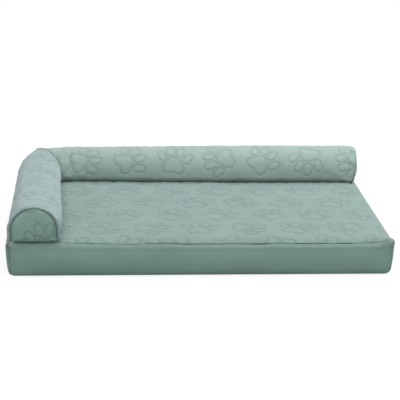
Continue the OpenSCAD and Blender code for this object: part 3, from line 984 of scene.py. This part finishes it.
def bolster(name, cloth, length, free_end, side, pattern_start, seed):
    cloth_end = length - lip_r + lip_r * lip_turn
    mesh = cloth_grid(name, round(cloth_end / tube_cell), cells_round_tube)
    points = read_points(mesh)
    row, share = (points[:, 0] + 1) / 2, points[:, 1]
    spread = float(round_half())
    out = tube_section(share * spread, foot_narrow)[0]
    mitre = np.where(out < 0, -out * inner_share(0), -out * math.pi / 4)
    u = mitre + row * (cloth_end - mitre)
    v = tube_r * share * spread
    points = np.stack(roll_up(u, share, length, free_end), 1)
    move_points(mesh, points)
    set_flat_cloth(mesh, u, v)
    mesh.update()
    at_edge = (row < 1e-4) | (row > 1 - 1e-4) | (np.abs(share) > 1 - 1e-4)
    held = np.maximum(at_edge, np.exp(-np.abs(u - cloth_end) / 0.006))
    swell(mesh, held, pressure=3.0, slack=0.010, most=0.0022)
    # The outer corner is drawn in by the mitre
    mesh.update()
    beyond = np.clip(out / tube_wide, 0, 1) ** 1.5 * np.exp(-np.clip(u + 0.010, 0, None) / 0.030)
    points = read_points(mesh) - normals_of(mesh) * (corner_draw * beyond)[:, None]
    move_points(mesh, points)
    mesh.update()
    fill_end = cloth_end - lip_r * lip_turn - fill_gap
    stuff(name + "_filling", mesh, row * cloth_end < fill_end, side, name + "_fill")
    # Finer cloth, then the quilting and the seams
    work = bpy.data.objects.new("cloth_in_work", mesh)
    scene.collection.objects.link(work)
    finer = work.modifiers.new("finer", "SUBSURF")
    finer.levels = 2
    finer.boundary_smooth = "PRESERVE_CORNERS"
    fine = bpy.data.meshes.new_from_object(work.evaluated_get(bpy.context.evaluated_depsgraph_get()))
    bpy.data.objects.remove(work)
    bpy.data.meshes.remove(mesh)
    fine.name = name
    points, normal = read_points(fine), normals_of(fine)
    u, v = flat_cloth(fine)
    share = v / (tube_r * spread)
    out = tube_section(share * spread, foot_narrow)[0]
    mitre = np.where(out < 0, -out * inner_share(0), -out * math.pi / 4)
    from_mitre, from_end = u - mitre, cloth_end - u
    from_base = tube_r * spread * (1 - np.abs(share))
    distance = paw_distance(u + pattern_start[0], v + pattern_start[1])
    edge = np.minimum(np.minimum(from_mitre, from_end), from_base)
    lift = 0.65 * quilt_height(distance) * (1 - np.exp(-np.maximum(edge, 0) / 0.005))
    lift += 0.0004 * crumple(points + seed, 14) + 0.0004 * crumple(points + seed, 34, (1.8, 0.6, 0.6))
    # Creases run round the tube near the mitre
    flat_points = np.stack((u, v, np.zeros(len(u))), 1) + seed
    near_corner = np.exp(-np.clip(u, 0, None) / 0.16) * np.clip(0.60 + out / tube_wide, 0, 1)
    lift += crease_height * crumple(flat_points, 48, (1, 0.16, 1)) * near_corner
    # One deep fold stands across the front of the tube, a hand's breadth from the mitre
    fold = (u - 0.067 - 0.004 * crumple(flat_points, 30)) / 0.0012
    on_front = np.exp(-((share + 0.40) / 0.20) ** 2)
    lift += fold_depth * np.tanh(fold) * np.exp(-np.abs(fold) / 8) * on_front
    # The mitre and the end seam draw the cloth in, with small gathers beside them, and the foot
    # puckers next to the mitre
    shown = np.clip(0.55 - out / tube_wide, 0, 1)
    lift -= mitre_depth * shown * np.exp(-(np.maximum(from_mitre, 0) / 0.0024) ** 1.2)
    by_mitre = np.exp(-from_mitre / 0.020) * (from_mitre > 0.001)
    lift += mitre_gather * crumple(flat_points, 62, (0.25, 1, 1)) * by_mitre
    by_end = np.exp(-np.abs(from_end - 0.024) / 0.012)
    lift += end_gather * crumple(flat_points, 75, (0.25, 1, 1)) * by_end
    lip_start = np.exp(-((from_end - lip_r * lip_turn - 0.0008) / 0.0016) ** 2)
    lift -= lip_seam_depth * lip_start
    by_foot = np.exp(-((u - 0.062) / 0.017) ** 2) * np.exp(-from_base / 0.022) * (out < 0)
    pits = crumple(flat_points, 70) * by_foot
    lift += pit_depth * pits
    lift *= 1 - np.exp(-np.maximum(from_base, 0) / 0.003)
    points += normal * lift[:, None]
    # Both covers end exactly in the mitre plane
    step = -(points[:, 1] + points[:, 0]) * np.exp(-(from_mitre / 0.004) ** 2)
    points[:, 0] += np.where(from_mitre < 0.012, step, 0)
    # The foot follows the panel down to the seam at its edge
    x, y = (side[axis][0] * points[:, 0] + side[axis][1] * points[:, 1] + side[axis][3] for axis in (0, 1))
    inward = np.clip(np.minimum(half_x - np.abs(x), half_y - np.abs(y)), 0, None)
    drop = seam_drop(x, y) * np.exp(-inward / seam_slope)
    points[:, 2] -= drop * np.exp(-np.maximum(from_base, 0) / 0.010)
    points[:, 2] = np.maximum(points[:, 2], seam_z - drop + 0.0002)
    move_points(fine, points)
    keep_weld_distance(fine, distance)
    # Painted shade along the mitre, the end seam, the lip's seam and the foot, and in the pits by the foot,
    # where shade falls
    shade = shown * np.exp(-(from_mitre / 0.0028) ** 2) + np.exp(-(from_end / 0.0025) ** 2)
    shade += 0.6 * np.exp(-(from_base / 0.004) ** 2) + lip_shade * lip_start
    shade += 1.6 * np.clip(-pits - 0.05, 0, None)
    keep_painted_shade(fine, shade)
    bm = bmesh.new()
    bm.from_mesh(fine)
    close_bolster(bm)
    put_in_place(bm, fine, side)
    piece = add_piece(name, fine, cloth)
    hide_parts(name + "_face", name + "_wadding")


# A bolster is laid out along +X with its outer side at +Y, and turned or mirrored to its place
left_side = Matrix(((0, -1, 0, corner_x), (-1, 0, 0, corner_y), (0, 0, 1, 0), (0, 0, 0, 1)))
back_side = Matrix(((1, 0, 0, corner_x), (0, 1, 0, corner_y), (0, 0, 1, 0), (0, 0, 0, 1)))
bolster("left_bolster", left_velvet, left_length, left_free_end, left_side, (0.031, 0.012), 3.1)
bolster("back_bolster", back_velvet, back_length, back_free_end, back_side, (0.002, 0.045), 7.7)

# The free end of each bolster is closed by a round-topped panel of quilt, sewn inside the lip
end_crown = 0.0105
end_seam_back = 0.0058
end_overlap = 0.0010
end_cells = 72


def end_panel(name, length, free_end, side, pattern_start, seed, node):
    mesh = cloth_grid(name, end_cells, end_cells)
    points = read_points(mesh)
    p, q = points[:, 0], points[:, 1]
    ring = np.maximum(np.abs(p), np.abs(q))
    reach = np.maximum(np.hypot(p, q), 1e-9)
    across, up = p / reach, q / reach
    # Its outline is the lip's inner edge and a little more, with a straight foot just below the
    # top of the mattress
    share = np.linspace(-1, 1, 241)
    cloth_end = np.full(len(share), length - lip_r + lip_r * lip_turn)
    _, rim_out, rim_z = roll_up(cloth_end, share, length, free_end)
    rim_up = rim_z - axis_z
    edge = np.interp(np.arctan2(across, up), np.arctan2(rim_out, rim_up), np.hypot(rim_out, rim_up))
    foot = (axis_drop + 0.0020) / np.maximum(-up, 1e-6)
    rim = np.minimum(edge + end_overlap, foot)
    out, height = ring * rim * across, ring * rim * up
    distance = paw_distance(out + pattern_start[0], height + pattern_start[1])
    from_rim = (1 - ring) * rim
    sharp = 3 + 6 * np.clip(-up, 0, 1) ** 2
    dome = end_crown * (1 - ring ** sharp) ** 0.5
    dome += 0.0020 * np.exp(-(height / 0.02) ** 2) * (1 - ring ** sharp)
    at = np.stack((out + seed, height, np.zeros(len(out))), 1)
    dome += 0.6 * quilt_height(distance) * (1 - np.exp(-from_rim / 0.004))
    dome += 0.0012 * crumple(at, 26) * (1 - ring ** 4)
    dome += 0.0010 * crumple(at, 90) * ring ** 3 * (1 - ring ** 12)
    along = length - end_seam_back + dome + free_end[1] * np.clip(height / tube_high, -0.3, 1)
    points = np.stack((along, out, axis_z + height), 1)
    move_points(mesh, points)
    set_flat_cloth(mesh, out, height)
    keep_weld_distance(mesh, distance)
    # Painted shade along the seam round the panel's rim
    keep_painted_shade(mesh, np.exp(-(from_rim / 0.0022) ** 2))
    bm = bmesh.new()
    bm.from_mesh(mesh)
    extrude_rim(bm, (-0.003, 0, 0))
    put_in_place(bm, mesh, side)
    piece = add_piece(name, mesh, end_velvet)
    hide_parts(node)


for name, length, free_end, side, pattern_start, seed, node in (
    ("left_bolster_front", left_length, left_free_end, left_side, (0.020, 0.018), 1.7, "left_bolster_end"),
    ("back_bolster_right", back_length, back_free_end, back_side, (0.060, 0.030), 5.2, "back_bolster_end"),
):
    end_panel(name, length, free_end, side, pattern_start, seed, node)
